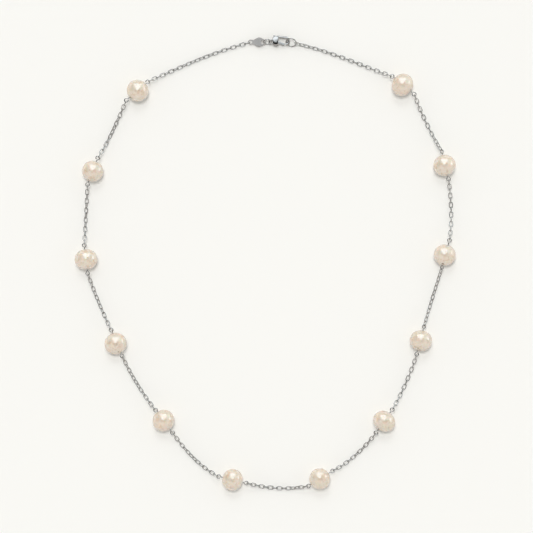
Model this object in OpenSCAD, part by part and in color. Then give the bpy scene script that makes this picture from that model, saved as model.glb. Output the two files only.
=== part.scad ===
// Station necklace: twelve near-round pearls on wire pins, joined by fine oval cable chain,
// closed by a trigger clasp beside a plain tag. It lies as an open loop on a flat surface.
// Frame: +Z up, +Y from the loop's middle to the clasp, origin on the surface under the
// middle of the outline. Lengths are in millimetres and angles in degrees.

/* [Chain] */
// Diameter of a link's wire
link_wire = 0.28; // [0.22:0.01:0.28]
// Outer width of a link
link_width = 1.42; // [1.36:0.02:1.52]
// Inner length of a link
link_inner = 1.8; // [1.8:0.01:1.86]
// Longest pitch from one link to the next
pitch_max = 1.69; // [1.62:0.01:1.69]
// How far a link may roll off the even alternation
roll_wobble = 5; // [0:1:8]

/* [Pearls and pins] */
// Diameter of the hole drilled through a pearl
drill_d = 0.9; // [0.8:0.05:1.1]
// Diameter of a pin's wire
pin_wire = 0.34; // [0.26:0.02:0.34]
// Outer diameter of the eye at each end of a pin
eye_d = 1.62; // [1.56:0.02:1.8]
// Half the distance between the middles of a pin's two eyes
eye_reach = 4.9; // [4.85:0.05:5.3]
// Level run in which the chain comes down from an eye to the surface
drop_run = 10; // [8:0.5:10]

/* [Rings] */
// Outer diameter of the ring that hooks into the clasp
end_ring_d = 3.95; // [3.9:0.05:4.2]
// Outer diameter of the ring between the clasp and the tag
jump_ring_d = 3.1; // [3:0.05:3.2]
// Diameter of both rings' wire
ring_wire = 0.4; // [0.36:0.01:0.42]
// Angle at which the end ring leans on the surface
end_ring_lean = 45; // [44:1:47]
// Angle at which the jump ring leans on the surface
jump_ring_lean = 57; // [56:1:60]

/* [Tag] */
// Width of the tag
tag_width = 3.2; // [2.6:0.1:3.4]
// Distance from the tag's hole to its eye
tag_span = 4.3; // [4.2:0.05:4.5]
// Thickness of the tag
tag_thick = 0.4; // [0.3:0.05:0.4]

/* [Clasp] */
// Thickness of the clasp over its two cheeks
clasp_thick = 1.7; // [1.66:0.02:1.8]
// Diameter of the clasp hook's wire
hook_wire = 0.84; // [0.8:0.02:0.86]
// Thickness of the lever
lever_thick = 0.8; // [0.7:0.02:0.82]
// Diameter of the rivet that the lever turns on
rivet_d = 0.5; // [0.4:0.02:0.5]
// Angle by which the lever stands open
lever_open = 0; // [0:1:24]

/* [Hidden] */
$fn = 48;
metal = "#c6c5c1";
nacre = "#ddd1c2";

// Clearances
floor_gap = 0.02;
ring_gap = 0.27;
hole_gap = 0.3;
bearing_gap = 0.06;

// Pearls, clockwise from the clasp. Columns: x, y of the middle; heading of the drill hole in
// the clockwise direction; largest diameter across the hole; length along the hole; how far
// the hole lies to the left of the middle; how far the pin has slid clockwise in its hole
PEARLS = [
    [ 47.3,  61.3,  -38.9, 7.9,  7.4,   0,     0.3],
    [ 61.8,  33.5,  -76.3, 7.9,  7.4,   0.25,  0],
    [ 61.9,   2.6, -105.5, 7.8,  7.3,   0.2,   -0.45],
    [ 53.7, -26.9, -104.6, 7.9,  7.25, -0.25,  0],
    [ 41.0, -54.7, -125.0, 8.05, 7.05,  0,     0],
    [ 18.8, -74.6, -147.8, 7.5,  7.3,   0,     -0.3],
    [-11.3, -74.9,  166.5, 7.55, 7.25,  0,     0],
    [-35.1, -54.5,  127.0, 7.75, 7.45,  0,     -0.35],
    [-51.6, -27.9,  113.0, 7.9,  7.5,  -0.4,   0],
    [-61.8,   1.1,   97.0, 8.05, 7.2,   0,     0],
    [-59.5,  31.5,   69.0, 7.45, 7.25,  0,     0],
    [-44.0,  59.3,   41.0, 7.75, 7.45,  0,     -0.28]
];

// Chain stretches, clockwise from the clasp. Columns: outward bow at mid length; extra bow of
// the later half over the earlier one; roll of the first link; roll half way, where every
// second link has it and the others are a quarter turn on; roll of the last link. A link at
// roll 0 lies flat
STRETCHES = [
    [ 0.85, -0.4,  -47,   0,  90],
    [-0.35,  0,     90,  90, 135],
    [ 0.9,   0.15,  90,  92,  90],
    [ 0.1,   0,     50,  40,  60],
    [ 0.75,  0,     90,  85,  90],
    [ 1.3,   0.2,   90,  65, 110],
    [ 1.4,  -0.1,   80,   0,  75],
    [ 1.5,  -0.3,   90,  50,  90],
    [ 0.8,   0,     90,  50, 110],
    [ 0.45,  0,     90,  50,  75],
    [ 0.15,  0,     90,  60,  90],
    [-0.3,   0.15,  90, 140,  90],
    [ 0.95,  0.15,  90,  50,  90]
];

pearl_count = len(PEARLS);
stretch_count = len(STRETCHES);
path_steps = 60;
oval_steps = 30;

// Half the distance between the middles of a link's two sides, the length of a side, and the
// height of the chain's middle line where its upright links stand on the surface
link_half = (link_width - link_wire) / 2;
link_side = link_inner + link_wire - 2 * link_half;
chain_rest = link_width / 2 + floor_gap;

// Pin eye
eye_r = (eye_d - pin_wire) / 2;

// Clasp, in its own frame: origin in the middle of its base loop, +X toward the hook, +Y
// toward the thumb tab
clasp_x = 2.08;
clasp_y = 76.2;
loop_r = 0.74;
loop_wire = 0.44;
hook_x = 4.83;
hook_y = 0.32;
hook_r = 1.21;
hook_start = 85;
hook_end = -88;
hook_arm = 2.9;
cheek_x = 1.75;
cheek_y = 0.35;
cheek_r = 1.75;
cheek_edge = 0.3;
cheek_left = 0.5;
cheek_right = 2.4;
web_right = 0.85;
web_top = 0.3;
root_left = 1.95;
root_bottom = 0.95;
slot = lever_thick + 2 * bearing_gap;

// Lever, with the rivet's place in the clasp's frame
rivet_x = 1.58;
rivet_y = 0.2;
hub_r = 0.55;
arm_angle = -20.5;
arm_length = 2.9;
arm_root_r = 0.43;
arm_tip_r = 0.38;
tab_angle = 105;
tab_length = 1.9;
tab_root_r = 0.27;
tab_tip_r = 0.36;
rivet_head_r = 0.36;
rivet_head = 0.08;
rivet_gap = 0.02;

// Rings, in the clasp's frame: each is drawn tight against what it hooks into
end_ring_r = (end_ring_d - ring_wire) / 2;
jump_ring_r = (jump_ring_d - ring_wire) / 2;
end_ring_z = end_ring_r * sin(end_ring_lean) + ring_wire / 2 + floor_gap;
jump_ring_z = jump_ring_r * sin(jump_ring_lean) + ring_wire / 2 + floor_gap;
clasp_z = (end_ring_z + jump_ring_z) / 2;
end_ring_turn = -14;
end_ring_out = hook_r - hook_wire / 2 - ring_gap - ring_wire / 2 + end_ring_r;
end_ring_at = [hook_x, hook_y] + end_ring_out * heading(end_ring_turn);
jump_ring_x = -(loop_r - loop_wire / 2 - ring_wire / 2 - hole_gap) - jump_ring_r;

// Tag, with its origin in the middle of the hole that holds the jump ring. The play keeps its
// square hole edge out of the last link's rounded end
tag_hole_r = 0.66;
tag_rim = 0.38;
tag_far_hole_r = 0.6;
tag_far_rim = 0.26;
tag_play = 0.1;
tag_belly = 1.3;
tag_shoulder = 2.3;
tag_shoulder_r = 1.1;
tag_neck_r = 0.5;
tag_turn = 0;
tag_far_z = 0.78;
tag_x = jump_ring_x - jump_ring_r - (tag_hole_r - ring_wire / 2 - hole_gap);
tag_tilt = asin((jump_ring_z - tag_far_z) / tag_span);

// Middle of the tag's far hole, and of the end ring, in the necklace's frame
tag_far = [clasp_x + tag_x, clasp_y, 0] + [0, 0, tag_far_z]
    - tag_span * cos(tag_tilt) * [cos(tag_turn), sin(tag_turn), 0];
ring_far = [clasp_x + end_ring_at.x, clasp_y + end_ring_at.y, end_ring_z];

function pad(n) = str(n < 10 ? "0" : "", n);

// Unit vector at an angle on the surface, and the one a quarter turn to its left
function heading(a) = [cos(a), sin(a)];
function leftward(a) = [-sin(a), cos(a)];

// Middle of the drill hole of pearl i, which lies on the surface, and of its two eyes:
// end -1 is the one nearer the clasp's hook and end 1 the one after it
function drill_mid(i) = [
    each [PEARLS[i][0], PEARLS[i][1]] + PEARLS[i][5] * leftward(PEARLS[i][2]),
    PEARLS[i][3] / 2
];
function eye_mid(i, end) =
    drill_mid(i) + (PEARLS[i][6] + end * eye_reach) * [each heading(PEARLS[i][2]), 0];

// Ends of stretch i, the inner radius of the eye, ring or hole that its first and last link
// hang in, the distance to the middle of its wire, and the run in which the chain comes down
function start_mid(i) = i == 0 ? ring_far : eye_mid(i - 1, 1);
function end_mid(i) = i == pearl_count ? tag_far : eye_mid(i, -1);
function start_hole(i) = i == 0 ? end_ring_r - ring_wire / 2 : eye_r - pin_wire / 2;
function end_hole(i) = i == pearl_count ? tag_far_hole_r - tag_play : eye_r - pin_wire / 2;
function start_hold(i) = i == 0 ? end_ring_r : eye_r;
function end_hold(i) = i == pearl_count ? tag_far_hole_r + tag_far_rim / 2 : eye_r;
function start_run(i) = i == 0 ? drop_run / 2 : drop_run;
function end_run(i) = i == pearl_count ? drop_run / 2 : drop_run;

// Point at share t of stretch i: a bow across its chord, and a height that eases down to the
// rest height from the wire that each end hangs on
function mix(a, b, t) = a + (b - a) * t;
function ease(rise, s, run) = rise * pow(max(0, 1 - max(0, s) / run), 2);
function path_point(i, t) =
    let (
        a = start_mid(i),
        b = end_mid(i),
        chord = [b.x - a.x, b.y - a.y],
        outward = [-chord.y, chord.x] / norm(chord),
        side = 4 * t * (1 - t) * (STRETCHES[i][0] + STRETCHES[i][1] * (2 * t - 1)),
        flat = [a.x, a.y] + chord * t + outward * side,
        height = chain_rest
            + ease(a.z - chain_rest, t * norm(chord) - start_hold(i), start_run(i))
            + ease(b.z - chain_rest, (1 - t) * norm(chord) - end_hold(i), end_run(i))
    )
    [flat.x, flat.y, height];

// Rows of length so far, x, y and z along stretch i
function path_table(i) =
    let (points = [for (k = [0:path_steps]) path_point(i, k / path_steps)])
    [
        for (
            k = 0, s = 0;
            k <= path_steps;
            s = s + (k < path_steps ? norm(points[k + 1] - points[k]) : 0), k = k + 1
        )
        [s, points[k].x, points[k].y, points[k].z]
    ];
function along_path(table, s) = [for (c = [1:3]) lookup(s, [for (row = table) [row[0], row[c]]])];

// Points where the links of stretch i touch: equal pitches between the holes at its ends
function touch_points(i) =
    let (
        table = path_table(i),
        length = table[path_steps][0],
        gap = link_inner - pitch_max,
        first = start_hole(i) - gap / 2,
        last = length - end_hole(i) + gap / 2,
        count = ceil((last - first) / pitch_max)
    )
    [for (k = [0:count]) along_path(table, mix(first, last, k / count))];
function link_count(i) = len(touch_points(i)) - 1;

// Roll of link k of n in stretch i: every second link is turned a quarter, with a little
// wobble away from the ends. A half turn changes nothing, so the way to the last link's roll
// is the short one
function short_way(from, to) = to - 180 * round((to - from) / 180);
function link_roll(i, k, n) =
    let (
        row = STRETCHES[i],
        u = k / (n - 1),
        last = short_way(row[3], row[4] + 90 * ((n - 1) % 2)),
        even = u < 0.5 ? mix(row[2], row[3], 2 * u) : mix(row[3], last, 2 * u - 1)
    )
    even + 90 * (k % 2) + roll_wobble * sin(180 * u) * sin(137 * k + 71 * i);

// A ring of round wire in the XY plane
module wire_ring(r, wire) {
    rotate_extrude()
        translate([r, 0])
            circle(d = wire);
}

// A disc in the XY plane whose rims are rounded
module rounded_disc(r, thick, edge) {
    rotate_extrude() {
        translate([0, -thick / 2])
            square([r - edge, thick]);
        translate([0, edge - thick / 2])
            square([r, thick - 2 * edge]);
        for (side = [-1, 1])
            translate([r - edge, side * (thick / 2 - edge)])
                circle(edge);
    }
}

// A flat bar whose outline is two discs and their common tangents
module tapered_bar(start, start_r, end, end_r, thick) {
    span = end - start;
    turn = atan2(span.y, span.x);
    lean = acos((start_r - end_r) / norm(span));
    translate([0, 0, -thick / 2])
        linear_extrude(thick)
            union() {
                translate(start)
                    circle(start_r);
                translate(end)
                    circle(end_r);
                polygon([
                    start + start_r * heading(turn + lean),
                    start + start_r * heading(turn - lean),
                    end + end_r * heading(turn - lean),
                    end + end_r * heading(turn + lean)
                ]);
            }
}

// A link: two half rings joined by two straight sides, long in X and flat in XY
module link() {
    for (end = [-1, 1]) {
        translate([end * link_side / 2, 0, 0])
            rotate([0, 0, -90 * end])
                rotate_extrude(angle = 180)
                    translate([link_half, 0])
                        circle(d = link_wire);
        translate([-link_side / 2, end * link_half, 0])
            rotate([0, 90, 0])
                cylinder(d = link_wire, h = link_side);
    }
}

// An oval turned about the X axis: across is its diameter and along is its length
module turned_oval(across, along) {
    rotate([0, 90, 0])
        rotate_extrude()
            polygon([
                for (k = [0:oval_steps])
                    let (a = -90 + 180 * k / oval_steps)
                    [across / 2 * cos(a), along / 2 * sin(a)]
            ]);
}

// A pearl lying on the surface: round about its drill hole, and a little shorter along it
module pearl(i) {
    row = PEARLS[i];
    color(nacre)
        difference() {
            translate([row[0], row[1], row[3] / 2])
                rotate([0, 0, row[2]])
                    turned_oval(row[3], row[4]);
            translate(drill_mid(i))
                rotate([0, 0, row[2]])
                    rotate([0, 90, 0])
                        cylinder(d = drill_d, h = 2 * row[3], center = true);
        }
}

// A pin: a straight wire through the pearl, with a closed eye at each end turned to suit the
// link that it holds
module pin(i) {
    last = link_count(i) - 1;
    color(metal)
        translate((eye_mid(i, -1) + eye_mid(i, 1)) / 2)
            rotate([0, 0, PEARLS[i][2]]) {
                rotate([0, 90, 0])
                    cylinder(d = pin_wire - 0.02, h = 2 * (eye_reach - eye_r), center = true);
                translate([-eye_reach, 0, 0])
                    rotate([link_roll(i, last, last + 1) + 90, 0, 0])
                        wire_ring(eye_r, pin_wire);
                translate([eye_reach, 0, 0])
                    rotate([link_roll(i + 1, 0, link_count(i + 1)) + 90, 0, 0])
                        wire_ring(eye_r, pin_wire);
            }
}

// A stretch of cable chain: each link spans two neighbouring touch points
module chain(i) {
    points = touch_points(i);
    count = len(points) - 1;
    color(metal)
        for (k = [0:count - 1]) {
            step = points[k + 1] - points[k];
            translate((points[k] + points[k + 1]) / 2)
                rotate([0, -atan2(step.z, norm([step.x, step.y])), atan2(step.y, step.x)])
                    rotate([link_roll(i, k, count), 0, 0])
                        link();
        }
}

module in_clasp_frame() {
    translate([clasp_x, clasp_y, clasp_z])
        children();
}

// The ring at the chain's end, leaning on the surface with the clasp's hook through it
module end_ring() {
    color(metal)
        translate([clasp_x + end_ring_at.x, clasp_y + end_ring_at.y, end_ring_z])
            rotate([0, 0, end_ring_turn])
                rotate([end_ring_lean, 0, 0])
                    wire_ring(end_ring_r, ring_wire);
}

// The ring through the clasp's base loop and the tag
module jump_ring() {
    color(metal)
        translate([clasp_x + jump_ring_x, clasp_y, jump_ring_z])
            rotate([jump_ring_lean, 0, 0])
                wire_ring(jump_ring_r, ring_wire);
}

// The clasp's fixed part: base loop, two cheeks with the lever's slot between them, and hook
module clasp_body() {
    color(metal)
        in_clasp_frame() {
            wire_ring(loop_r, loop_wire);
            difference() {
                intersection() {
                    translate([cheek_x, cheek_y, 0])
                        rounded_disc(cheek_r, clasp_thick, cheek_edge);
                    translate([cheek_left, cheek_y - cheek_r, -clasp_thick / 2])
                        cube([cheek_right - cheek_left, 2 * cheek_r, clasp_thick]);
                }
                difference() {
                    translate([0, cheek_y - 2 * cheek_r, -slot / 2])
                        cube([2 * cheek_right, 4 * cheek_r, slot]);
                    translate([0, -cheek_r, -slot])
                        cube([web_right, cheek_r + web_top, 2 * slot]);
                    translate([root_left, root_bottom, -slot])
                        cube([cheek_right, cheek_r, 2 * slot]);
                }
                translate([rivet_x, rivet_y, 0])
                    cylinder(d = rivet_d + 2 * rivet_gap, h = 2 * clasp_thick, center = true);
            }
            translate([hook_x, hook_y, 0]) {
                rotate([0, 0, hook_end])
                    rotate_extrude(angle = hook_start - hook_end)
                        translate([hook_r, 0])
                            circle(d = hook_wire);
                rotate([0, 0, hook_start])
                    translate([hook_r, 0, 0])
                        rotate([-90, 0, 0])
                            cylinder(d = hook_wire, h = hook_arm);
            }
        }
}

// The lever: a hub on the rivet, the arm that closes the hook, and the thumb tab
module clasp_lever() {
    color(metal)
        in_clasp_frame()
            translate([rivet_x, rivet_y, 0])
                rotate([0, 0, lever_open])
                    difference() {
                        union() {
                            cylinder(r = hub_r, h = lever_thick, center = true);
                            tapered_bar(
                                [0, 0], arm_root_r,
                                arm_length * heading(arm_angle), arm_tip_r, lever_thick
                            );
                            tapered_bar(
                                [0, 0], tab_root_r,
                                tab_length * heading(tab_angle), tab_tip_r, lever_thick
                            );
                        }
                        cylinder(d = rivet_d + 2 * bearing_gap, h = 2 * lever_thick, center = true);
                    }
}

// The rivet: a pin through both cheeks and the lever, with a flat head on each side
module clasp_rivet() {
    color(metal)
        in_clasp_frame()
            translate([rivet_x, rivet_y, 0]) {
                cylinder(d = rivet_d, h = clasp_thick + 2 * rivet_gap, center = true);
                for (side = [0, 1])
                    mirror([0, 0, side])
                        translate([0, 0, clasp_thick / 2 + rivet_gap])
                            cylinder(r = rivet_head_r, h = rivet_head);
            }
}

// The tag: a plain oval plate with a hole at one end and a small eye at the other
module tag() {
    color(metal)
        translate([clasp_x + tag_x, clasp_y, jump_ring_z])
            rotate([0, 0, tag_turn])
                rotate([0, -tag_tilt, 0])
                    difference() {
                        union() {
                            tapered_bar(
                                [0, 0], tag_hole_r + tag_rim,
                                [-tag_belly, 0], tag_width / 2, tag_thick
                            );
                            tapered_bar(
                                [-tag_belly, 0], tag_width / 2,
                                [-tag_shoulder, 0], tag_shoulder_r, tag_thick
                            );
                            tapered_bar(
                                [-tag_shoulder, 0], tag_neck_r,
                                [-tag_span, 0], tag_far_hole_r + tag_far_rim, tag_thick
                            );
                        }
                        cylinder(r = tag_hole_r, h = 2 * tag_thick, center = true);
                        translate([-tag_span, 0, 0])
                            cylinder(r = tag_far_hole_r, h = 2 * tag_thick, center = true);
                    }
}

for (i = [0:pearl_count - 1])
    pearl(i);
for (i = [0:pearl_count - 1])
    pin(i);
for (i = [0:stretch_count - 1])
    chain(i);
end_ring();
clasp_body();
clasp_lever();
clasp_rivet();
jump_ring();
tag();
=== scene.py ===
"""Station necklace: twelve cream pearls on wire pins, joined by fine oval cable chain, with a
trigger clasp beside a plain tag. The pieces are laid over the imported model, which says where
each pearl, eye, link, ring and clasp part lies."""
import math

import bpy
import numpy as np
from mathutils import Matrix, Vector


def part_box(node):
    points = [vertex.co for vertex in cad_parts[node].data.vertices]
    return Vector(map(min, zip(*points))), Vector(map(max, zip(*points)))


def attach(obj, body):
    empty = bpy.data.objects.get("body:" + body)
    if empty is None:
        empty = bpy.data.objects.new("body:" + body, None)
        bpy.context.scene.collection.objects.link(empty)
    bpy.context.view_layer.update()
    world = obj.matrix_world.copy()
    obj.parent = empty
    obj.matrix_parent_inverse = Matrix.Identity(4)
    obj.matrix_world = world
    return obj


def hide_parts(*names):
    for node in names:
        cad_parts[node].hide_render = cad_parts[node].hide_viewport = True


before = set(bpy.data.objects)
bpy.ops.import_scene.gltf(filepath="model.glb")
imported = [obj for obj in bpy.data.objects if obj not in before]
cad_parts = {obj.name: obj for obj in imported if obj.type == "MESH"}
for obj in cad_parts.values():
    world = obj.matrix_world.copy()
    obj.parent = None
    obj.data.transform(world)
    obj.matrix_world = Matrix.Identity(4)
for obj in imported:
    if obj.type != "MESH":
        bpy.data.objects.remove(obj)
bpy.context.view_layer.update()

bl_info = {
    "name": "Station necklace",
    "version": (1, 0, 0),
    "blender": (4, 5, 0),
    "location": "3D View > Sidebar > Necklace",
    "description": "Builds a pearl station necklace with its cable chain, clasp and tag",
    "category": "Add Mesh",
}

MM = 0.001
NECKLACE_BODY = "necklace"
LEVER_BODY = "lever"
PEARLS = sorted(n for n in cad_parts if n.startswith("pearl_"))
PINS = sorted(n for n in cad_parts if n.startswith("pin_"))
CHAINS = sorted(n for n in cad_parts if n.startswith("chain_"))

# Pearls: points around, and rows of the skin, of each lip and of the hole's wall
PEARL_SIDES = 120
SKIN_ROWS = 90
LIP_ROWS = 5
WALL_ROWS = 6
# Share of a lip's quarter turn at which its first row lies
LIP_START = 0.25
# Waves of a pearl's skin: how many, the fewest and most radians to a radius, and their share of
# the unevenness
SKIN_WAVES = ((6, 1.5, 3.2, 0.6), (9, 7, 12, 0.4))
# A pearl's waves are drawn from this seed plus the pearl's number
FIRST_SEED = 100
# Brown at the rim of the drill hole, partly a stain of the nacre and partly painted shade of the
# hole, and how far it spreads
HOLE_STAIN_AND_SHADE = 0.55
HOLE_STAIN_AND_SHADE_WIDTH = 0.5 * MM
# Painted spots of the shade and reflection of the pins' eyes, by pearl, the first being 0:
# direction along the drill hole, to its left and up; radius in mm; depth of the brown
EYE_SHADE_SPOTS = {
    0: [(0.92, 0.1, 0.38, 0.55, 0.8), (-0.85, 0.2, 0.5, 0.6, 0.25)],
    1: [(0.93, 0.0, 0.36, 0.5, 0.7)],
    2: [(0.87, 0.02, 0.5, 0.7, 0.95)],
    3: [(0.9, 0.1, 0.42, 0.6, 0.95), (0.75, -0.12, 0.65, 0.5, 0.5), (0.7, -0.4, 0.6, 0.5, 0.3)],
    4: [(0.91, -0.05, 0.4, 0.6, 0.9)],
    8: [(-0.8, 0.03, 0.6, 0.36, 0.9)],
    9: [(-0.92, 0.05, 0.38, 0.5, 0.6)],
    10: [(-0.92, 0.1, 0.38, 0.55, 0.7)],
    11: [(-0.92, -0.1, 0.38, 0.55, 0.8)],
}
# How steeply a painted spot's brown fades toward its edge
SPOT_FADE = 1.6

# Pins: how far in from its end a packed pin is read for an eye's plane and for its radius
EYE_PLANE_REACH = 1.55 * MM
EYE_RADIUS_REACH = 1.7 * MM
# An eye's wire: points around it, the degrees where it starts and how many it covers
EYE_POINTS = 34
EYE_START = 215
EYE_SWEEP = 305
# The wire's kink before an eye: places along and across the pin, for an eye radius of 1
EYE_NECK = ((-2.6, 0), (-2.0, 0), (-1.62, 0), (-1.42, -0.03), (-1.24, -0.13), (-1.03, -0.33))
# Points of the shaft between the two kinks
SHAFT_POINTS = 5
# Thickness of the wire's first and second point from each cut end, as a share of the whole
END_TAPER = (0.6, 0.95)
PIN_SIDES = 10

# Links and rings: points to a bend or a ring, and sides of the wire
BEND_POINTS = 7
LINK_SIDES = 8
RING_POINTS = 72
RING_SIDES = 18

# Doming of the clasp's cheeks: depth of the band that counts as their outer faces, its reach from
# the faces' middle, the heights over the middle plane where it starts and over which it grows, and
# how far it lowers the rim
FACE_BAND = 0.1 * MM
DOME_REACH = 1.75 * MM
DOME_START = 0.46 * MM
DOME_GROWTH = 0.25 * MM
DOME_DROP = 0.32 * MM
# Points that lie closer than this are one, where links are told apart and where skins are made
SAME_POINT = 0.0001 * MM
WELD_DISTANCE = 0.0005 * MM

# Sockets of a Mix node that mixes colours: its two inputs and its output
FIRST_COLOUR = 6
SECOND_COLOUR = 7
MIXED_COLOUR = 2

# Half the width of the paper floor, in metres
FLOOR_HALF_WIDTH = 1.5
# Middle of the photograph's frame, and the height over the surface where its width is taken
FRAME_MIDDLE = (0.43 * MM, -1.36 * MM, 0)
FRAME_LEVEL = 3 * MM
# Width of the camera's film in mm, and how far it sees, in metres
FILM_WIDTH = 36
CAMERA_REACH = 10
# The softbox as it shows on a bright ball of radius 1 seen from above, x to the right and y toward
# the clasp: half its width, the height of its foot, its own height and where its middle lies
SOFTBOX_HALF_WIDTH = 0.38
SOFTBOX_FOOT = 0.05
SOFTBOX_HEIGHT = 0.6
SOFTBOX_MIDDLE = -0.02
# Points along each side of the softbox, and around each round panel
OUTLINE_POINTS = 24
ROUND_POINTS = 20
# The strip's corners, as they show on the same ball
STRIP_OUTLINE = ((0.54, 0.04), (0.69, 0.04), (0.68, 0.2), (0.6, 0.42), (0.53, 0.42), (0.55, 0.2))


def hex_linear(code):
    """Linear colour, with full alpha, of an sRGB hex value: each channel over 255, then the sRGB
    curve undone."""
    channels = [int(code[k:k + 2], 16) / 255 for k in (0, 2, 4)]
    return [c / 12.92 if c <= 0.04045 else ((c + 0.055) / 1.055) ** 2.4 for c in channels] + [1]


class PearlSettings(bpy.types.PropertyGroup):
    """Sizes, lustre and colours of the pearls"""

    hole: bpy.props.FloatProperty(
        name="Drill hole", description="Diameter of the hole through a pearl",
        default=0.9 * MM, min=0.6 * MM, max=1.2 * MM, unit="LENGTH")
    lip: bpy.props.FloatProperty(
        name="Hole lip", description="Radius of the rounding at the rim of the hole",
        default=0.1 * MM, min=0.02 * MM, max=0.2 * MM, unit="LENGTH")
    swell: bpy.props.FloatProperty(
        name="Unevenness", description="How far a pearl's surface dips below its even oval",
        default=0.1 * MM, min=0, max=0.2 * MM, unit="LENGTH")
    lustre: bpy.props.FloatProperty(
        name="Lustre", description="Roughness of the nacre's mirror-like top layer",
        default=0.08, min=0.01, max=0.4, subtype="FACTOR")
    cream: bpy.props.FloatVectorProperty(
        name="Cream", description="Main colour of the nacre",
        default=hex_linear("e5daca"), size=4, min=0, max=1, subtype="COLOR")
    warm_drift: bpy.props.FloatVectorProperty(
        name="Warm drift", description="Colour of the nacre's warmer drifts",
        default=hex_linear("e6d8c5"), size=4, min=0, max=1, subtype="COLOR")
    green_drift: bpy.props.FloatVectorProperty(
        name="Green drift", description="Colour of the nacre's greener drifts",
        default=hex_linear("e0d9c6"), size=4, min=0, max=1, subtype="COLOR")
    # Brown of the stain and painted shade at the drill hole, and of the painted spots of the pins'
    # eyes' shade and reflection
    brown: bpy.props.FloatVectorProperty(
        name="Brown", description="Colour of the pits and of the stain at the drill hole",
        default=hex_linear("6e5238"), size=4, min=0, max=1, subtype="COLOR")


class MetalSettings(bpy.types.PropertyGroup):
    """Sizes, finish and shades of the white gold pieces"""

    link_wire: bpy.props.FloatProperty(
        name="Link wire", description="Diameter of a chain link's wire",
        default=0.28 * MM, min=0.2 * MM, max=0.3 * MM, unit="LENGTH")
    pin_wire: bpy.props.FloatProperty(
        name="Pin wire", description="Diameter of a pearl pin's wire",
        default=0.34 * MM, min=0.2 * MM, max=0.36 * MM, unit="LENGTH")
    ring_wire: bpy.props.FloatProperty(
        name="Ring wire", description="Diameter of the end ring's and jump ring's wire",
        default=0.4 * MM, min=0.3 * MM, max=0.44 * MM, unit="LENGTH")
    roughness: bpy.props.FloatProperty(
        name="Polish", description="Roughness of the polished white gold",
        default=0.13, min=0.02, max=0.6, subtype="FACTOR")
    satin: bpy.props.FloatProperty(
        name="Satin", description="Roughness of the tag's stamped sheet",
        default=0.5, min=0.1, max=0.8, subtype="FACTOR")
    shade: bpy.props.FloatVectorProperty(
        name="Polished shade", description="Darker shade of the polished white gold",
        default=hex_linear("b6b2ae"), size=4, min=0, max=1, subtype="COLOR")
    light_shade: bpy.props.FloatVectorProperty(
        name="Polished light shade", description="Lighter shade of the polished white gold",
        default=hex_linear("c2beba"), size=4, min=0, max=1, subtype="COLOR")
    # The satin shades are lighter than the polished ones: painted light on the tag
    satin_shade_painted_lighter: bpy.props.FloatVectorProperty(
        name="Satin shade", description="Darker shade of the tag's satin sheet",
        default=hex_linear("c4bdb8"), size=4, min=0, max=1, subtype="COLOR")
    satin_light_shade_painted_lighter: bpy.props.FloatVectorProperty(
        name="Satin light shade", description="Lighter shade of the tag's satin sheet",
        default=hex_linear("d0c8c3"), size=4, min=0, max=1, subtype="COLOR")


class StageSettings(bpy.types.PropertyGroup):
    """Floor, light and camera"""

    view_width: bpy.props.FloatProperty(
        name="View width", description="Width that the camera sees at the pearls' height",
        default=183.9 * MM, min=0.05, max=1, unit="LENGTH")
    camera_height: bpy.props.FloatProperty(
        name="Camera height", description="Height of the camera over the surface",
        default=1.2, min=0.3, max=3, unit="LENGTH")
    key: bpy.props.FloatProperty(
        name="Key light", description="Strength of the slanting light from the clasp's side",
        default=0.42, min=0, max=10)
    top_key: bpy.props.FloatProperty(
        name="Top light", description="Strength of the narrower light from almost overhead",
        default=1.22, min=0, max=10)
    fill: bpy.props.FloatProperty(
        name="Fill light", description="Strength of the soft light from all around",
        default=1.1, min=0, max=4)
    softbox: bpy.props.FloatProperty(
        name="Softbox", description="Brightness of the tall panel beyond the clasp, in reflections",
        default=2.1, min=0, max=20)
    strip: bpy.props.FloatProperty(
        name="Strip", description="Brightness of the low panel on the right, in reflections",
        default=2.3, min=0, max=20)
    paper: bpy.props.FloatVectorProperty(
        name="Paper", description="Colour of the paper floor",
        default=hex_linear("f5f4f0"), size=4, min=0, max=1, subtype="COLOR")
    # Painted shade: the darker colour of the paper that only reflections see
    paper_painted_darker_in_mirrors: bpy.props.FloatVectorProperty(
        name="Mirrored paper", description="Colour of the paper floor as the metal mirrors it",
        default=hex_linear("d2d1ce"), size=4, min=0, max=1, subtype="COLOR")


def settings(name):
    """One of the scene's groups of settings."""
    return getattr(bpy.context.scene, name)


def unit(vectors):
    """The vectors over their own lengths."""
    return vectors / np.linalg.norm(vectors, axis=-1, keepdims=True)


def triangles(node):
    """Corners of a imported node's triangles as an array (triangle, corner, xyz), in metres."""
    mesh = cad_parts[node].data
    mesh.calc_loop_triangles()
    points = np.zeros(len(mesh.vertices) * 3)
    mesh.vertices.foreach_get("co", points)
    corners = np.zeros(len(mesh.loop_triangles) * 3, int)
    mesh.loop_triangles.foreach_get("vertices", corners)
    return points.reshape(-1, 3)[corners].reshape(-1, 3, 3)


def loose_parts(tris):
    """Splits triangles into the pieces that hang together: corners that round to one place are
    one point, and each point takes the lowest label around it until none changes."""
    keys = np.round(tris.reshape(-1, 3) / SAME_POINT).astype(np.int64)
    point = np.unique(keys, axis=0, return_inverse=True)[1].reshape(-1, 3)
    label = np.arange(point.max() + 1)
    while True:
        lowest = label[point].min(axis=1)
        new = label.copy()
        for corner in range(3):
            np.minimum.at(new, point[:, corner], lowest)
        new = new[new]
        if (new == label).all():
            break
        label = new
    of_tri = label[point[:, 0]]
    return [tris[of_tri == k] for k in np.unique(of_tri)]


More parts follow.
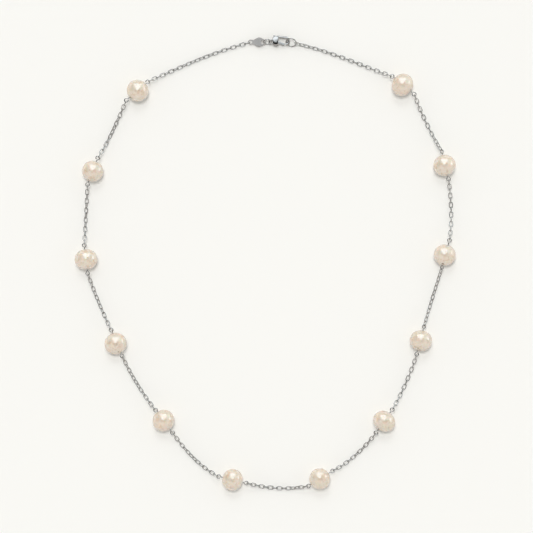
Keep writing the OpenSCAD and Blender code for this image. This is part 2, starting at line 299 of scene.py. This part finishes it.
def spread(tris):
    """Middle and principal axes of a surface, longest first, each triangle weighed by its area."""
    area = np.linalg.norm(np.cross(tris[:, 1] - tris[:, 0], tris[:, 2] - tris[:, 0]), axis=1)
    mids = tris.mean(axis=1)
    middle = (mids * area[:, None]).sum(axis=0) / area.sum()
    off = mids - middle
    axes = np.linalg.eigh((off * area[:, None]).T @ off)[1]
    return middle, axes.T[::-1]


def tube(path, normal, radius, sides, closed=False):
    """Rows of points of a round wire: at each path point a circle, spanned by the path plane's
    normal and the direction across the path in that plane."""
    if closed:
        along = unit(np.roll(path, -1, axis=0) - np.roll(path, 1, axis=0))
    else:
        along = unit(np.gradient(path, axis=0))
    normal = np.broadcast_to(normal, path.shape)
    across = unit(np.cross(along, normal))
    radius = np.broadcast_to(np.asarray(radius, float).reshape(-1, 1, 1), (len(path), 1, 1))
    angle = np.linspace(0, 2 * math.pi, sides, endpoint=False)[:, None]
    ring = np.cos(angle) * across[:, None] + np.sin(angle) * normal[:, None]
    return path[:, None] + radius * ring


def rows_to_faces(rows, closed):
    """Points and faces of a surface given as rows of points: every row is a closed loop, and
    the rows close into a ring themselves or end in a fan around each end row's middle. Where the
    volume inside comes out below zero, the faces are turned round."""
    count, sides = rows.shape[:2]
    index = np.arange(count * sides).reshape(count, sides)
    nxt = np.roll(index, -1, axis=1)
    if closed:
        lower, upper, lower_n, upper_n = index, np.roll(index, -1, 0), nxt, np.roll(nxt, -1, 0)
    else:
        lower, upper, lower_n, upper_n = index[:-1], index[1:], nxt[:-1], nxt[1:]
    quads = np.stack([lower, lower_n, upper_n, upper], axis=-1).reshape(-1, 4)
    points = rows.reshape(-1, 3)
    fans = np.zeros((0, 3), int)
    if not closed:
        points = np.concatenate([points, rows[0].mean(0)[None], rows[-1].mean(0)[None]])
        low, high = count * sides, count * sides + 1
        fans = np.concatenate([
            np.stack([np.full(sides, low), nxt[0], index[0]], axis=-1),
            np.stack([np.full(sides, high), index[-1], nxt[-1]], axis=-1),
        ])
    a, b, c, d = (points[quads[:, k]] for k in range(4))
    volume = np.einsum("ij,ij->", a, np.cross(b, c)) + np.einsum("ij,ij->", a, np.cross(c, d))
    if len(fans):
        e, f, g = (points[fans[:, k]] for k in range(3))
        volume += np.einsum("ij,ij->", e, np.cross(f, g))
    if volume < 0:
        quads, fans = quads[:, ::-1], fans[:, ::-1]
    return points, quads.tolist() + fans.tolist()


def piece(name, parts, material, body, nodes, marks=None):
    """One mesh object from parts given as (rows, closed), riding on a body for its nodes. Marks
    are how brown each point is, which the nacre reads."""
    points, faces, start = [], [], 0
    for rows, closed in parts:
        part_points, part_faces = rows_to_faces(rows, closed)
        points.append(part_points)
        faces += [[k + start for k in face] for face in part_faces]
        start += len(part_points)
    mesh = bpy.data.meshes.new(name)
    mesh.from_pydata(np.concatenate(points).tolist(), [], faces)
    mesh.shade_smooth()
    mesh.materials.append(material)
    if marks is not None:
        mesh.attributes.new("marks", "FLOAT", "POINT").data.foreach_set("value", marks)
    thing = bpy.data.objects.new(name, mesh)
    bpy.context.scene.collection.objects.link(thing)
    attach(thing, body)
    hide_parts(*nodes)


def add_node(tree, kind, sets=(), links=(), stops=()):
    """Adds a shader node, sets its values, links others' outputs into it and gives a colour ramp
    its stops, each a place and a linear colour."""
    node = tree.nodes.new(kind)
    for key, value in sets:
        if isinstance(key, str) and hasattr(node, key):
            setattr(node, key, value)
        else:
            node.inputs[key].default_value = value
    for key, source in links:
        tree.links.new(source, node.inputs[key])
    for number, (place, colour) in enumerate(stops):
        elements = node.color_ramp.elements
        element = elements[number] if number < len(elements) else elements.new(place)
        element.position = place
        element.color = colour
    return node


def new_material(name):
    """An empty node material with its output, and its tree."""
    material = bpy.data.materials.new(name)
    material.use_nodes = True
    tree = material.node_tree
    tree.nodes.clear()
    return material, tree, add_node(tree, "ShaderNodeOutputMaterial")


def nacre():
    """Freshwater pearl nacre: thin layers of aragonite, which give a soft glow from within, a
    clear mirror on top and faint pink and green drifts. It isn't polished, so it is a little
    uneven. It is browner at the drill hole, partly as a stain and partly as painted shade, and in
    painted spots of the shade and reflection of the pins' eyes."""
    pearl = settings("necklace_pearls")
    material, tree, output = new_material("freshwater_nacre")
    place = add_node(tree, "ShaderNodeTexCoord").outputs["Object"]
    # Drifts of colour are about 3 mm across
    drift = add_node(tree, "ShaderNodeTexNoise",
                     [("Scale", 0.35 / MM), ("Detail", 2.0), ("Roughness", 0.5)],
                     [("Vector", place)])
    body = add_node(tree, "ShaderNodeValToRGB", links=[("Fac", drift.outputs["Fac"])], stops=[
        (0.3, pearl.warm_drift), (0.5, pearl.cream), (0.7, pearl.green_drift)])
    # Growth lines are finer than shows, so they are drawn about 1.4 mm across and winding, with
    # finer ones in them
    growth = add_node(tree, "ShaderNodeTexNoise", [
        ("Scale", 0.7 / MM), ("Detail", 4.0), ("Roughness", 0.6), ("Distortion", 1.2),
    ], [("Vector", place)])
    veil = add_node(tree, "ShaderNodeValToRGB", links=[("Fac", growth.outputs["Fac"])], stops=[
        (0.36, hex_linear("e6d3bf")), (0.5, hex_linear("ffffff")), (0.62, hex_linear("fbeee9"))])
    veiled = add_node(tree, "ShaderNodeMix", [
        ("data_type", "RGBA"), ("blend_type", "MULTIPLY"), ("Factor", 0.62),
    ], [(FIRST_COLOUR, body.outputs["Color"]), (SECOND_COLOUR, veil.outputs["Color"])])
    # The marks hold the stain and painted shade at the drill hole and the painted spots of the
    # pins' eyes' shade and reflection
    marks = add_node(tree, "ShaderNodeAttribute", [("attribute_name", "marks")])
    browned = add_node(tree, "ShaderNodeMix", [
        ("data_type", "RGBA"), (SECOND_COLOUR, pearl.brown),
    ], [("Factor", marks.outputs["Fac"]), (FIRST_COLOUR, veiled.outputs[MIXED_COLOUR])])
    # Growth waves are about 1 mm across and very shallow
    waves = add_node(tree, "ShaderNodeTexNoise",
                     [("Scale", 0.9 / MM), ("Detail", 3.0), ("Roughness", 0.55)],
                     [("Vector", place)])
    bump = add_node(tree, "ShaderNodeBump", [("Strength", 0.35), ("Distance", 0.05 * MM)],
                    [("Height", waves.outputs["Fac"])])
    # The coat's IOR is above that of aragonite, because a stack of layers mirrors more than one
    shader = add_node(tree, "ShaderNodeBsdfPrincipled", [
        ("Roughness", 0.45), ("IOR", 1.35), ("Subsurface Weight", 0.8),
        ("Subsurface Radius", (1.0, 0.75, 0.55)), ("Subsurface Scale", 1.6 * MM),
        ("Coat Weight", 1.0), ("Coat Roughness", pearl.lustre), ("Coat IOR", 2.4),
        ("Sheen Weight", 0.4), ("Sheen Roughness", 0.35), ("Sheen Tint", hex_linear("f8e4dd")),
    ], [("Base Color", browned.outputs[MIXED_COLOUR]), ("Normal", bump.outputs["Normal"])])
    tree.links.new(shader.outputs["BSDF"], output.inputs["Surface"])
    return material


def white_gold(name, polish, shade, light_shade):
    """Rhodium-plated white gold, drawn to wire or cast and then polished, or stamped from satin
    sheet: a grey-white metal with fine rubbing marks that only blur its reflections."""
    material, tree, output = new_material(name)
    place = add_node(tree, "ShaderNodeTexCoord").outputs["Object"]
    # Rubbing marks are finer than shows, so they are drawn about 0.15 mm apart. They make the
    # metal 0.7 to 1.5 times as rough as its polish says
    marks = add_node(tree, "ShaderNodeTexNoise",
                     [("Scale", 6.0 / MM), ("Detail", 2.0), ("Roughness", 0.6)],
                     [("Vector", place)]).outputs["Fac"]
    rough = add_node(tree, "ShaderNodeMapRange",
                     [("To Min", polish * 0.7), ("To Max", polish * 1.5)], [("Value", marks)])
    bump = add_node(tree, "ShaderNodeBump", [("Strength", 0.1), ("Distance", 0.01 * MM)],
                    [("Height", marks)])
    tint = add_node(tree, "ShaderNodeValToRGB", links=[("Fac", marks)],
                    stops=[(0.35, shade), (0.65, light_shade)])
    shader = add_node(tree, "ShaderNodeBsdfPrincipled", [("Metallic", 1.0)], [
        ("Base Color", tint.outputs["Color"]), ("Roughness", rough.outputs["Result"]),
        ("Normal", bump.outputs["Normal"])])
    tree.links.new(shader.outputs["BSDF"], output.inputs["Surface"])
    return material


def polished_metal():
    """The polished white gold of the wires and the clasp, made once."""
    name = "polished_white_gold"
    gold = settings("necklace_metal")
    made = bpy.data.materials.get(name)
    return made or white_gold(name, gold.roughness, gold.shade, gold.light_shade)


def pearl_facts(number):
    """A pearl's middle, its drill direction, which runs clockwise round the necklace, the
    direction to the left of that, its radius across, half its length along, and how far left of
    the middle the drill hole lies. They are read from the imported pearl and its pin. On an oval,
    the square of a point's place along is that of the half length times 1 less the square of its
    share of the radius, so the half length comes from both sums over the skin."""
    low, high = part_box(PEARLS[number])
    middle = np.array((low + high) / 2)
    radius = (high.z - low.z) / 2
    hole_middle, axes = spread(triangles(PINS[number]))
    clockwise = np.array([middle[1], -middle[0], 0])
    axis = axes[0] * np.sign(axes[0] @ clockwise)
    left = np.array([-axis[1], axis[0], 0])
    side = (hole_middle - middle) @ left
    corners = triangles(PEARLS[number]).reshape(-1, 3) - middle
    along = corners @ axis
    away = np.linalg.norm(corners - along[:, None] * axis, axis=1)
    skin = away > radius / 2
    half = math.sqrt((along[skin] ** 2).sum() / (1 - (away[skin] / radius) ** 2).sum())
    return middle, axis, left, radius, half, side


def pearl_rows(number):
    """A pearl: an oval of revolution about its drill direction, whose poles are moved to the
    ends of the hole, with a quarter-round lip at each end of the hole, and the hole's wall. Broad
    and finer waves only sink it: each is a cosine over the place along a random direction. Also
    gives the marks of its points."""
    middle, axis, left, radius, half, side = pearl_facts(number)
    pearl = settings("necklace_pearls")
    hole, lip = pearl.hole / 2, pearl.lip
    rng = np.random.default_rng(FIRST_SEED + number)
    around = np.linspace(0, 2 * math.pi, PEARL_SIDES, endpoint=False)[None, :]
    edge = math.asin((hole + lip) / radius)
    # Angle from the first pole, closer together toward the poles
    eased = (1 - np.cos(np.linspace(0, math.pi, SKIN_ROWS))) / 2
    sweep = (edge + (math.pi - 2 * edge) * eased)[:, None]
    skin = np.stack(np.broadcast_arrays(
        -np.cos(sweep), np.sin(sweep) * np.cos(around), np.sin(sweep) * np.sin(around)), axis=-1)
    skin[..., 1] += side / radius * skin[..., 0] ** 2
    skin = unit(skin)
    sink = np.ones(skin.shape[:2])
    for count, fewest, most, part in SKIN_WAVES:
        waves = np.zeros(skin.shape[:2])
        for _ in range(count):
            toward = unit(rng.normal(size=3))
            turns = rng.uniform(fewest, most) * (skin @ toward) + rng.uniform(0, 6)
            waves += rng.uniform(-1, 1) * np.cos(turns)
        sink -= part * pearl.swell / radius * (waves - waves.min()) / np.ptp(waves)
    outer = skin * sink[..., None] * np.array([half, radius, radius])
    ray = np.stack([0 * around[0], np.cos(around[0]), np.sin(around[0])], axis=-1)
    turn = np.linspace(LIP_START, 1, LIP_ROWS)[:, None, None] * math.pi / 2
    depth = lip * (1 - np.cos(turn))
    inset = hole + lip * (1 - np.sin(turn))
    lips = []
    for end, outward in ((-1, 1), (0, -1)):
        centre = np.array([outer[end][:, 0].mean(), side, 0])
        lips.append(centre + ray * inset - np.array([outward, 0, 0]) * depth)
    # From the last end's lip the wall runs back to the first end's, whose rows go outward
    last_lip, first_lip = lips[0], lips[1][::-1]
    share = np.linspace(0, 1, WALL_ROWS + 2)[1:-1, None, None]
    wall = last_lip[-1] * (1 - share) + first_lip[0] * share
    rows = np.concatenate([outer, last_lip, wall, first_lip])
    up = np.array([0, 0, 1])
    return middle + rows @ np.stack([axis, left, up]), pearl_stain_and_shade(number, rows, side)


def pearl_stain_and_shade(number, rows, side):
    """How brown a pearl is at each point: around the drill hole, partly a stain of the nacre and
    partly painted shade of the hole, less the farther from its rim, and in painted spots of the
    shade and reflection of the pins' eyes, less the farther from their middles. The middle of the
    hole's wall is clean."""
    hole = settings("necklace_pearls").hole / 2
    from_axis = np.linalg.norm(rows[..., 1:] - [side, 0], axis=-1)
    at_end = np.abs(rows[..., 0]) > hole
    # Brown at the drill hole's rim: partly a stain, partly painted shade of the hole
    marks = HOLE_STAIN_AND_SHADE * np.clip((hole + HOLE_STAIN_AND_SHADE_WIDTH - from_axis) / HOLE_STAIN_AND_SHADE_WIDTH, 0, 1) * at_end
    # Painted spots of the shade and reflection of the pins' eyes
    for along, leftward, upward, radius, depth in EYE_SHADE_SPOTS.get(number, ()):
        toward = unit(np.array([along, leftward, upward]))
        away = np.linalg.norm(unit(rows) - toward, axis=-1) * np.linalg.norm(rows, axis=-1)
        fade = np.clip(SPOT_FADE * (1 - away / (radius * MM)), 0, 1)
        marks = np.maximum(marks, depth * fade)
    return marks.ravel()


def eye_path():
    """One eye of a pin in its own plane, for an eye radius of 1: the shaft comes in along x, is
    kinked aside just before the eye and goes round it, up to just short of the shaft."""
    angle = math.radians(EYE_START) + math.radians(EYE_SWEEP) * np.linspace(0, 1, EYE_POINTS)
    circle = np.stack([np.cos(angle), np.sin(angle)], axis=-1)
    return np.concatenate([EYE_NECK, circle])


def pin_rows(number):
    """A pin: one round wire from eye to eye. Each eye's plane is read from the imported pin, and
    the wire's cross-section turns from one plane to the other along the shaft."""
    tris = triangles(PINS[number])
    axis = pearl_facts(number)[1]
    middle = spread(tris)[0]
    wire = settings("necklace_metal").pin_wire / 2
    along = (tris.mean(axis=1) - middle) @ axis
    reach = np.abs(along).max()
    halves = []
    for end in (-1, 1):
        eye = tris[(along * end) > reach - EYE_PLANE_REACH]
        normal = spread(eye)[1][2]
        out = axis * end
        normal = unit(normal - (normal @ out) * out)
        if normal[2] < 0:
            normal = -normal
        across = np.cross(normal, out)
        eye_radius = eye_outer_radius(tris, middle, out)
        centre = middle + out * (reach - eye_radius)
        ring = eye_radius - wire
        flat = eye_path()
        path = centre + flat[:, :1] * ring * out + flat[:, 1:] * ring * across
        halves.append((path, np.broadcast_to(normal, path.shape)))
    (first, first_normal), (last, last_normal) = halves
    share = np.linspace(0, 1, SHAFT_POINTS + 2)[1:-1, None]
    shaft = first[0] * (1 - share) + last[0] * share
    angle = math.acos(np.clip(first_normal[0] @ last_normal[0], -1, 1))
    # Between two planes that are almost the same there is nothing to turn
    if angle < 1e-4:
        turned = np.broadcast_to(first_normal[0], shaft.shape)
    else:
        turned = (np.sin((1 - share) * angle) * first_normal[0]
                  + np.sin(share * angle) * last_normal[0]) / math.sin(angle)
    path = np.concatenate([first[::-1], shaft, last])
    normal = np.concatenate([first_normal[::-1], turned, last_normal])
    taper = np.ones(len(path))
    taper[[0, -1]], taper[[1, -2]] = END_TAPER
    return tube(path, normal, wire * taper, PIN_SIDES)


def eye_outer_radius(tris, middle, out):
    """Outer radius of the eye at one end of a pin: how far from the pin's line it reaches."""
    corners = tris.reshape(-1, 3) - middle
    along = corners @ out
    across = corners - along[:, None] * out
    far = along > along.max() - EYE_RADIUS_REACH
    return np.linalg.norm(across[far], axis=1).max()


def link_rows(tris):
    """A chain link: round wire along a stadium. The link's middle and its long and flat
    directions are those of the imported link, and so are its length and width."""
    wire = settings("necklace_metal").link_wire / 2
    middle, (long, wide, normal) = spread(tris)
    corners = tris.reshape(-1, 3) - middle
    half_long = np.abs(corners @ long).max() - wire
    half_wide = np.abs(corners @ wide).max() - wire
    turn = np.linspace(-math.pi / 2, math.pi / 2, BEND_POINTS)
    straight = half_long - half_wide
    cap = np.stack([straight + half_wide * np.cos(turn), half_wide * np.sin(turn)], axis=-1)
    flat = np.concatenate([cap, -cap])
    path = middle + flat[:, :1] * long + flat[:, 1:] * wide
    return tube(path, normal, wire, LINK_SIDES, closed=True)


def ring_rows(node):
    """A soldered ring: round wire along a circle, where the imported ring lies."""
    wire = settings("necklace_metal").ring_wire / 2
    tris = triangles(node)
    middle, (first, second, normal) = spread(tris)
    radius = np.linalg.norm(tris.reshape(-1, 3) - middle, axis=1).max() - wire
    angle = np.linspace(0, 2 * math.pi, RING_POINTS, endpoint=False)[:, None]
    path = middle + radius * (np.cos(angle) * first + np.sin(angle) * second)
    return tube(path, normal, wire, RING_SIDES, closed=True)


def domed(points):
    """Rounds the two flat outer faces of the clasp's cheeks: the farther a point of a face lies
    from the middle of the faces, the more it sinks, by the fourth power of that distance."""
    low, high = points.min(axis=0), points.max(axis=0)
    middle = (low + high) / 2
    off = points[:, 2] - middle[2]
    face = np.abs(off) > (high - low)[2] / 2 - FACE_BAND
    centre = points[face].mean(axis=0)
    away = np.linalg.norm((points - centre)[:, :2], axis=1)
    grown = np.clip((np.abs(off) - DOME_START) / DOME_GROWTH, 0, 1)
    out = points.copy()
    out[:, 2] -= np.sign(off) * grown * np.minimum((away / DOME_REACH) ** 4, 1) * DOME_DROP
    return out


def softened_copy(node, name, material, body, voxel, passes, shape=None):
    """A cast, turned or stamped piece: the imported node's shape, remeshed finely as one skin and
    smoothed, so that its edges are rounded as tumbling and polishing leave them. A shape function
    then moves its points."""
    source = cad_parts[node]
    mesh = source.data.copy()
    thing = bpy.data.objects.new(name, mesh)
    bpy.context.scene.collection.objects.link(thing)
    weld = thing.modifiers.new("weld", "WELD")
    weld.merge_threshold = WELD_DISTANCE
    remesh = thing.modifiers.new("skin", "REMESH")
    remesh.mode = "VOXEL"
    remesh.voxel_size = voxel
    smooth = thing.modifiers.new("polish", "SMOOTH")
    smooth.iterations = passes
    smooth.factor = 0.5
    bpy.context.view_layer.update()
    graph = bpy.context.evaluated_depsgraph_get()
    baked = bpy.data.meshes.new_from_object(thing.evaluated_get(graph))
    thing.modifiers.clear()
    thing.data = baked
    if shape is not None:
        points = np.zeros(len(baked.vertices) * 3)
        baked.vertices.foreach_get("co", points)
        baked.vertices.foreach_set("co", shape(points.reshape(-1, 3)).ravel())
    baked.materials.clear()
    baked.materials.append(material)
    baked.shade_smooth()
    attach(thing, body)
    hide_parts(node)


class NECKLACE_OT_pearls(bpy.types.Operator):
    """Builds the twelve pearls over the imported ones"""

    bl_idname = "necklace.pearls"
    bl_label = "Pearls"

    def execute(self, context):
        skin = nacre()
        for number, node in enumerate(PEARLS):
            rows, marks = pearl_rows(number)
            piece(f"nacre_{node}", [(rows, True)], skin, NECKLACE_BODY, [node], marks)
        return {"FINISHED"}


class NECKLACE_OT_pins(bpy.types.Operator):
    """Builds the pin with two eyes that carries each pearl"""

    bl_idname = "necklace.pins"
    bl_label = "Pins"

    def execute(self, context):
        metal = polished_metal()
        for number, node in enumerate(PINS):
            wire = [(pin_rows(number), False)]
            piece(f"wire_{node}", wire, metal, NECKLACE_BODY, [node])
        return {"FINISHED"}


class NECKLACE_OT_chain(bpy.types.Operator):
    """Builds the stretches of cable chain, link by link"""

    bl_idname = "necklace.chain"
    bl_label = "Cable chain"

    def execute(self, context):
        metal = polished_metal()
        for node in CHAINS:
            links = [(link_rows(part), True) for part in loose_parts(triangles(node))]
            piece(f"links_{node}", links, metal, NECKLACE_BODY, [node])
        return {"FINISHED"}


class NECKLACE_OT_rings(bpy.types.Operator):
    """Builds the end ring and the jump ring"""

    bl_idname = "necklace.rings"
    bl_label = "Rings"

    def execute(self, context):
        metal = polished_metal()
        for node in ("end_ring", "jump_ring"):
            wire = [(ring_rows(node), True)]
            piece(f"wire_{node}", wire, metal, NECKLACE_BODY, [node])
        return {"FINISHED"}


class NECKLACE_OT_clasp(bpy.types.Operator):
    """Builds the trigger clasp: its body, lever and rivet, and the tag beside it"""

    bl_idname = "necklace.clasp"
    bl_label = "Clasp and tag"

    def execute(self, context):
        metal = polished_metal()
        # The tag's sheet is rougher than the polished metal, and its shades are lighter: painted
        # light that brightens the tag
        gold = settings("necklace_metal")
        satin = white_gold("satin_white_gold_painted_lighter", gold.satin, gold.satin_shade_painted_lighter,
                           gold.satin_light_shade_painted_lighter)
        # Node, piece, metal, body, width of the voxels, passes of smoothing and shape function
        softened_copy("clasp_body", "cast_clasp_body", metal, NECKLACE_BODY, 0.04 * MM, 8, domed)
        softened_copy("clasp_lever", "cast_clasp_lever", metal, LEVER_BODY, 0.03 * MM, 6)
        softened_copy("clasp_rivet", "turned_clasp_rivet", metal, NECKLACE_BODY, 0.02 * MM, 4)
        softened_copy("tag", "stamped_tag", satin, NECKLACE_BODY, 0.03 * MM, 5)
        return {"FINISHED"}


class NECKLACE_OT_stage(bpy.types.Operator):
    """Adds the pale floor, the soft lights and the camera"""

    bl_idname = "necklace.stage"
    bl_label = "Stage"

    def execute(self, context):
        stage = settings("necklace_stage")
        add_floor(stage)
        add_world(stage)
        add_lights(stage)
        add_panels(stage)
        add_camera(stage)
        context.scene.view_settings.view_transform = "Standard"
        return {"FINISHED"}


def add_floor(stage):
    """A plain sheet of matt off-white paper, three metres square. Mirrors see a darker colour of
    it:
    painted shade in the reflections."""
    material, tree, output = new_material("off_white_paper")
    ray = add_node(tree, "ShaderNodeLightPath")
    # Glossy rays get the darker colour: painted shade in the reflections
    colour = add_node(tree, "ShaderNodeMix", [
        ("data_type", "RGBA"), (FIRST_COLOUR, stage.paper), (SECOND_COLOUR, stage.paper_painted_darker_in_mirrors),
    ], [("Factor", ray.outputs["Is Glossy Ray"])])
    shader = add_node(tree, "ShaderNodeBsdfPrincipled",
                      [("Roughness", 0.9), ("Specular IOR Level", 0.1)],
                      [("Base Color", colour.outputs[MIXED_COLOUR])])
    tree.links.new(shader.outputs["BSDF"], output.inputs["Surface"])
    half = FLOOR_HALF_WIDTH
    mesh = bpy.data.meshes.new("paper_floor")
    mesh.from_pydata([(-half, -half, 0), (half, -half, 0), (half, half, 0), (-half, half, 0)], [],
                     [(0, 1, 2, 3)])
    mesh.materials.append(material)
    floor = bpy.data.objects.new("paper_floor", mesh)
    bpy.context.scene.collection.objects.link(floor)


def add_world(stage):
    """A fill for matt surfaces that is stronger near the horizon than overhead, and for mirrors a
    room that is brightest above the side away from the clasp. Both run over how far a direction
    leans toward an axis: 0 is away from it, 0.5 square to it and 1 along it."""
    world = bpy.data.worlds.new("studio")
    bpy.context.scene.world = world
    world.use_nodes = True
    tree = world.node_tree
    tree.nodes.clear()
    ray = add_node(tree, "ShaderNodeLightPath")
    toward = add_node(tree, "ShaderNodeTexCoord").outputs["Generated"]
    shades = []
    fill = [(0.5, "ffffff"), (1.0, "8c8c8a")]
    room = [(0.25, "505050"), (0.45, "5c5c5c"), (0.68, "d0d0cf"), (1.0, "dcdcdb")]
    for axis, steps, strength in (((0, 0, 1), fill, stage.fill), ((0, -0.7, 0.714), room, 1.0)):
        lean = add_node(tree, "ShaderNodeVectorMath", [("operation", "DOT_PRODUCT"), (1, axis)],
                        [(0, toward)])
        share = add_node(tree, "ShaderNodeMapRange", [("From Min", -1.0), ("From Max", 1.0)],
                         [("Value", lean.outputs["Value"])])
        grey = add_node(tree, "ShaderNodeValToRGB", links=[("Fac", share.outputs["Result"])],
                        stops=[(place, hex_linear(code)) for place, code in steps])
        shades.append(add_node(tree, "ShaderNodeBackground", [("Strength", strength)],
                               [("Color", grey.outputs["Color"])]))
    both = add_node(tree, "ShaderNodeMixShader", links=[
        ("Fac", ray.outputs["Is Glossy Ray"]), (1, shades[0].outputs["Background"]),
        (2, shades[1].outputs["Background"])])
    add_node(tree, "ShaderNodeOutputWorld", links=[("Surface", both.outputs["Shader"])])


def add_lights(stage):
    """Two suns from the clasp's side: a slanting one for the soft shadow and a narrower one,
    almost overhead, for the shadow's darker line along each edge. Mirrors don't see them."""
    # Name, strength, width of the light in degrees and direction toward it
    for name, strength, width, toward in (
        ("broad_key", stage.key, 20, (-0.04, 0.7, 1)),
        ("top_key", stage.top_key, 12, (-0.04, 0.2, 1)),
    ):
        sun = bpy.data.lights.new(name, "SUN")
        sun.energy = strength
        sun.angle = math.radians(width)
        key = bpy.data.objects.new(name, sun)
        aim(key, Vector(toward))
        key.visible_glossy = False
        bpy.context.scene.collection.objects.link(key)


def add_panels(stage):
    """Panels that only mirrors see: a lit softbox, a lit strip on the right, the black camera
    below the softbox, a black gap on the left and the dim light that spills past the softbox.
    Each is given by its outline as it shows on a bright ball of radius 1 seen from above, and by
    its distance, and a nearer one hides a farther one. The softbox is a shield: at each share of
    its height, half its width goes as that share to the power 0.6, and closes at the top as the
    root of 1 less its ninth power. A point of the ball shows what lies twice as far from
    straight up as the ball's surface there leans."""
    share = np.linspace(0, 1, OUTLINE_POINTS)
    half = SOFTBOX_HALF_WIDTH * share ** 0.6 * np.sqrt(1 - share ** 9)
    side = np.stack([half, SOFTBOX_FOOT + SOFTBOX_HEIGHT * share], axis=-1)
    shield = np.concatenate([side, side[::-1] * [-1, 1]]) + [SOFTBOX_MIDDLE, 0]
    turn = np.linspace(0, 2 * math.pi, ROUND_POINTS, endpoint=False)
    disc = np.stack([np.cos(turn), np.sin(turn)], axis=-1)
    # Name, outline, distance in metres, brightness and colour. A disc is stretched to half its
    # width and height, then moved to its middle
    for name, outline, distance, strength, code in (
        ("softbox", shield, 1.0, stage.softbox, "e8f3fc"),
        ("strip", np.array(STRIP_OUTLINE), 1.0, stage.strip, "eef8ff"),
        ("camera_back", disc * [0.3, 0.26] + [0.0, 0.08], 1.5, 0.0, "000000"),
        ("gap", disc * [0.2, 0.2] + [-0.56, 0.12], 1.5, 0.0, "000000"),
        ("spill", disc * [0.43, 0.28] + [0.15, 0.36], 2.2, 0.85, "d4fffa"),
    ):
        tall = np.sqrt(1 - (outline ** 2).sum(axis=1))
        normal = np.concatenate([outline, tall[:, None]], axis=1)
        toward = 2 * tall[:, None] * normal - [0, 0, 1]
        middle = unit(toward.mean(axis=0))
        corners = toward / (toward @ middle)[:, None] * distance
        mesh = bpy.data.meshes.new(name)
        mesh.from_pydata([*corners.tolist(), (distance * middle).tolist()], [],
                         [(k, (k + 1) % len(corners), len(corners)) for k in range(len(corners))])
        material, tree, output = new_material(name)
        glow = add_node(tree, "ShaderNodeEmission",
                        [("Color", hex_linear(code)), ("Strength", strength)])
        tree.links.new(glow.outputs["Emission"], output.inputs["Surface"])
        mesh.materials.append(material)
        panel = bpy.data.objects.new(name, mesh)
        panel.visible_camera = panel.visible_diffuse = panel.visible_shadow = False
        bpy.context.scene.collection.objects.link(panel)


def aim(thing, toward):
    """Turns a light so that it shines from that direction onto the origin."""
    thing.rotation_euler = toward.to_track_quat("Z", "Y").to_euler()


def add_camera(stage):
    """A long lens straight above the middle of the photograph's frame."""
    lens = bpy.data.cameras.new("camera")
    lens.sensor_width = FILM_WIDTH
    lens.lens = FILM_WIDTH * (stage.camera_height - FRAME_LEVEL) / stage.view_width
    lens.clip_end = CAMERA_REACH
    camera = bpy.data.objects.new("camera", lens)
    camera.location = Vector(FRAME_MIDDLE) + Vector((0, 0, stage.camera_height))
    bpy.context.scene.collection.objects.link(camera)
    bpy.context.scene.camera = camera


class NECKLACE_PT_panel(bpy.types.Panel):
    """Lists the necklace's pieces and their settings"""

    bl_idname = "NECKLACE_PT_panel"
    bl_label = "Station necklace"
    bl_space_type = "VIEW_3D"
    bl_region_type = "UI"
    bl_category = "Necklace"

    def draw(self, context):
        for group, owner in GROUPS.items():
            box = self.layout.box()
            for name in owner.__annotations__:
                box.prop(getattr(context.scene, group), name)
        for operator in OPERATORS:
            self.layout.operator(operator.bl_idname)


GROUPS = {
    "necklace_pearls": PearlSettings,
    "necklace_metal": MetalSettings,
    "necklace_stage": StageSettings,
}
OPERATORS = (
    NECKLACE_OT_pearls,
    NECKLACE_OT_pins,
    NECKLACE_OT_chain,
    NECKLACE_OT_rings,
    NECKLACE_OT_clasp,
    NECKLACE_OT_stage,
)


def register():
    """Adds the settings, the operators and the panel to Blender."""
    for thing in (*GROUPS.values(), *OPERATORS, NECKLACE_PT_panel):
        bpy.utils.register_class(thing)
    for name, group in GROUPS.items():
        setattr(bpy.types.Scene, name, bpy.props.PointerProperty(type=group))


def unregister():
    """Takes them out again, in the opposite order."""
    for name in GROUPS:
        delattr(bpy.types.Scene, name)
    for thing in (NECKLACE_PT_panel, *reversed(OPERATORS), *reversed(GROUPS.values())):
        bpy.utils.unregister_class(thing)


def main():
    """Builds the necklace and its stage."""
    register()
    bpy.ops.necklace.pearls()
    bpy.ops.necklace.pins()
    bpy.ops.necklace.chain()
    bpy.ops.necklace.rings()
    bpy.ops.necklace.clasp()
    bpy.ops.necklace.stage()


if __name__ == "__main__":
    main()
